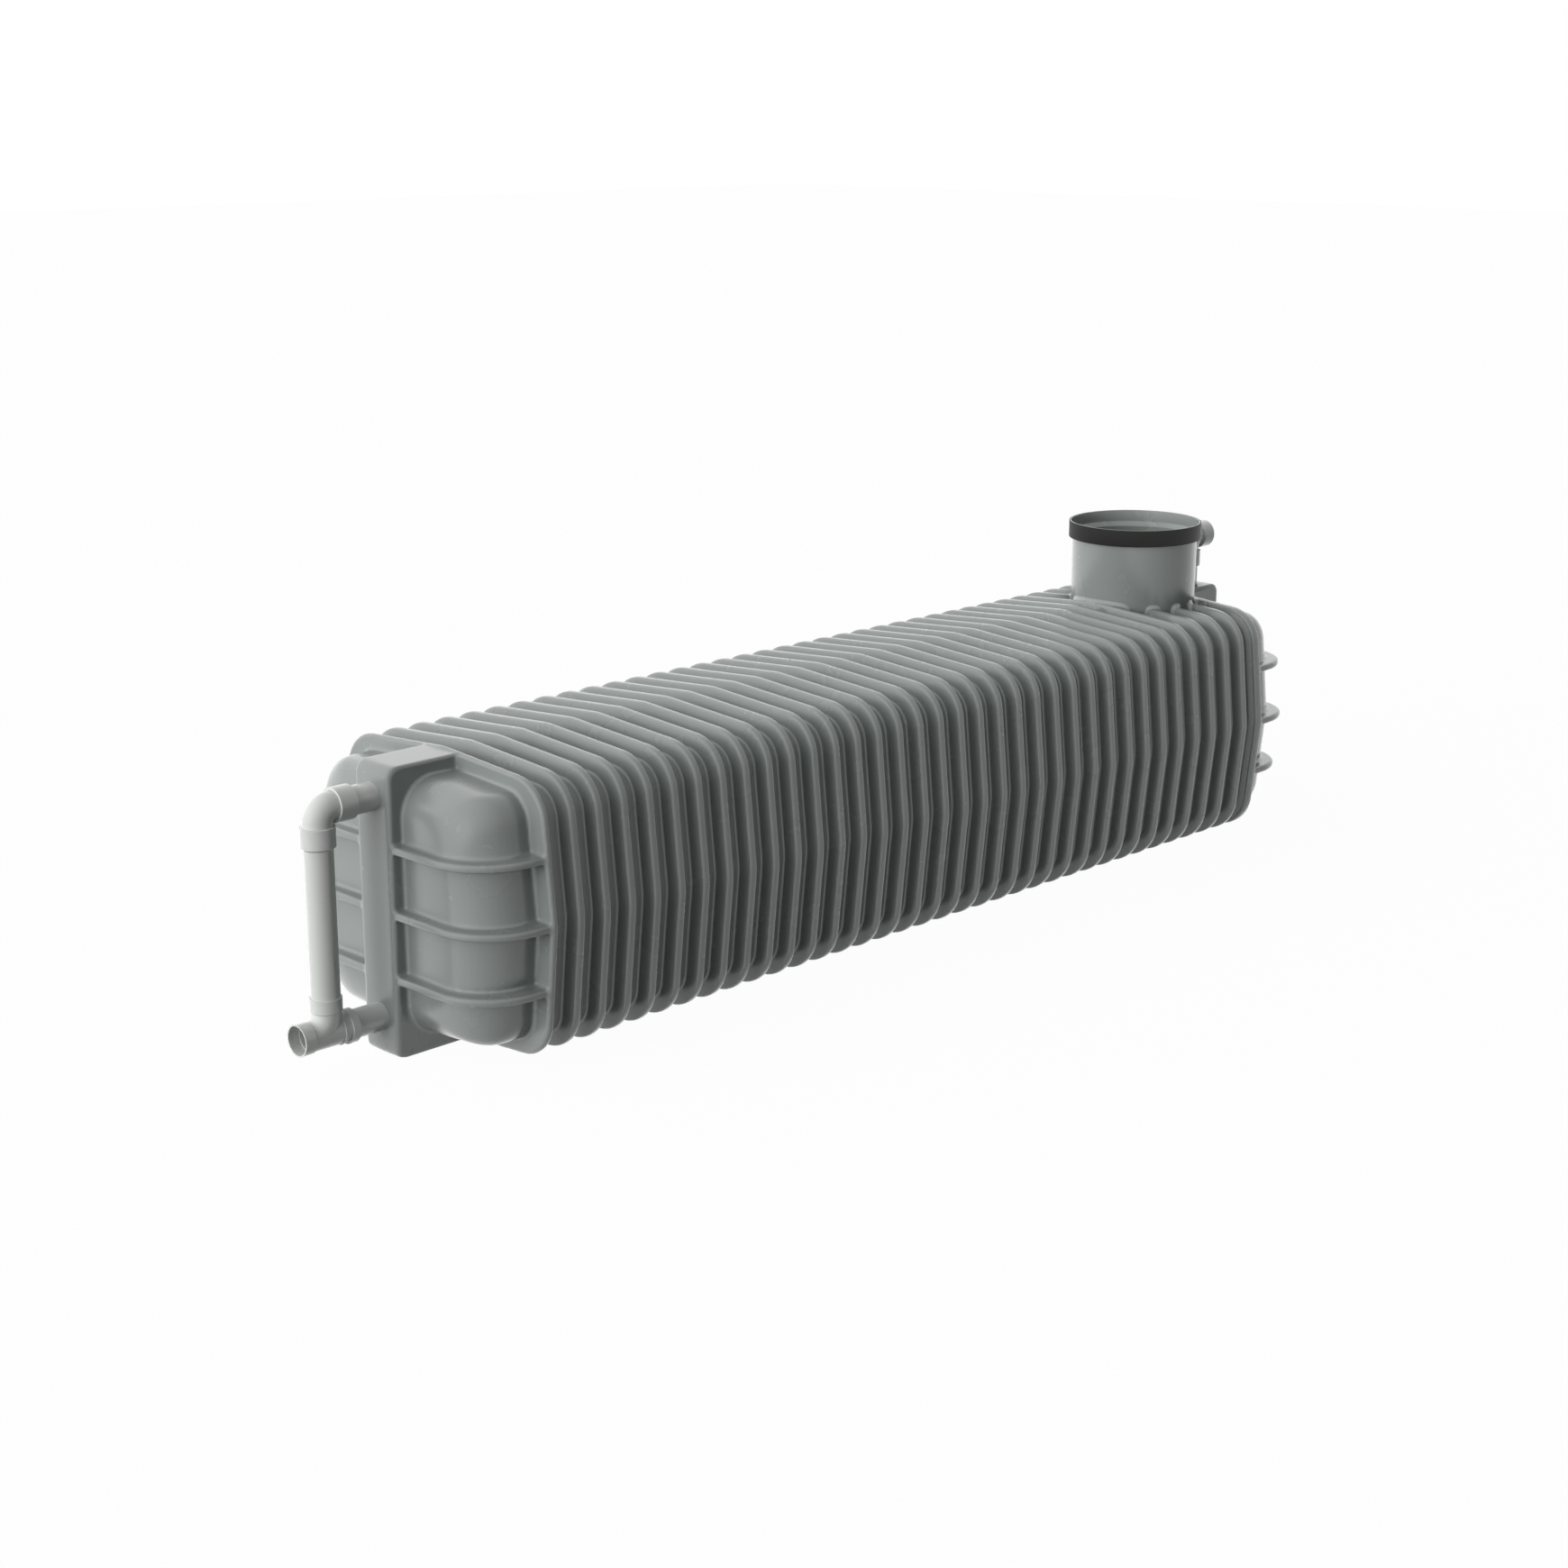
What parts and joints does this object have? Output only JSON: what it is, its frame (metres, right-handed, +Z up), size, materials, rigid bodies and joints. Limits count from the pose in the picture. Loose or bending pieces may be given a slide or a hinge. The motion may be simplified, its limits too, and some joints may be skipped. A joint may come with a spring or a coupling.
{
  "type": "underground water tank",
  "caption": "Long ribbed plastic underground water tank with pillow-shaped heads, an open access neck with a sealing ring, and drain pipes at both ends.",
  "frame": {"origin": "middle of the overall length and width, on the ground under the keel and the feet", "axes": "+X along the hull from the outlet head to the inlet head, +Z up through the neck, +Y across"},
  "size_m": [5.443, 1.265, 1.484],
  "materials": {
    "tank_plastic": "moulded grey polyethylene, satin",
    "ring_rubber": "black rubber, matte",
    "pipe_plastic": "light grey pipe plastic, half gloss",
    "seal_rubber": "black rubber, matte"
  },
  "bodies": {
    "root": {"tank_body": "tank_plastic", "neck_sealing_ring": "ring_rubber", "upper_stub_pipe": "pipe_plastic", "outlet_elbow": "pipe_plastic", "drop_pipe": "pipe_plastic", "swept_tee": "pipe_plastic", "lower_stub_pipe": "pipe_plastic", "inlet_riser": "pipe_plastic", "inlet_elbow": "pipe_plastic", "inlet_coupler": "pipe_plastic", "upper_stub_seal": "seal_rubber", "drop_pipe_seal": "seal_rubber", "lower_stub_seal": "seal_rubber", "inlet_riser_seal": "seal_rubber", "inlet_coupler_seal": "seal_rubber", "upper_stub_grommet": "seal_rubber", "lower_stub_grommet": "seal_rubber", "inlet_riser_grommet": "seal_rubber"}
  },
  "joints": []
}
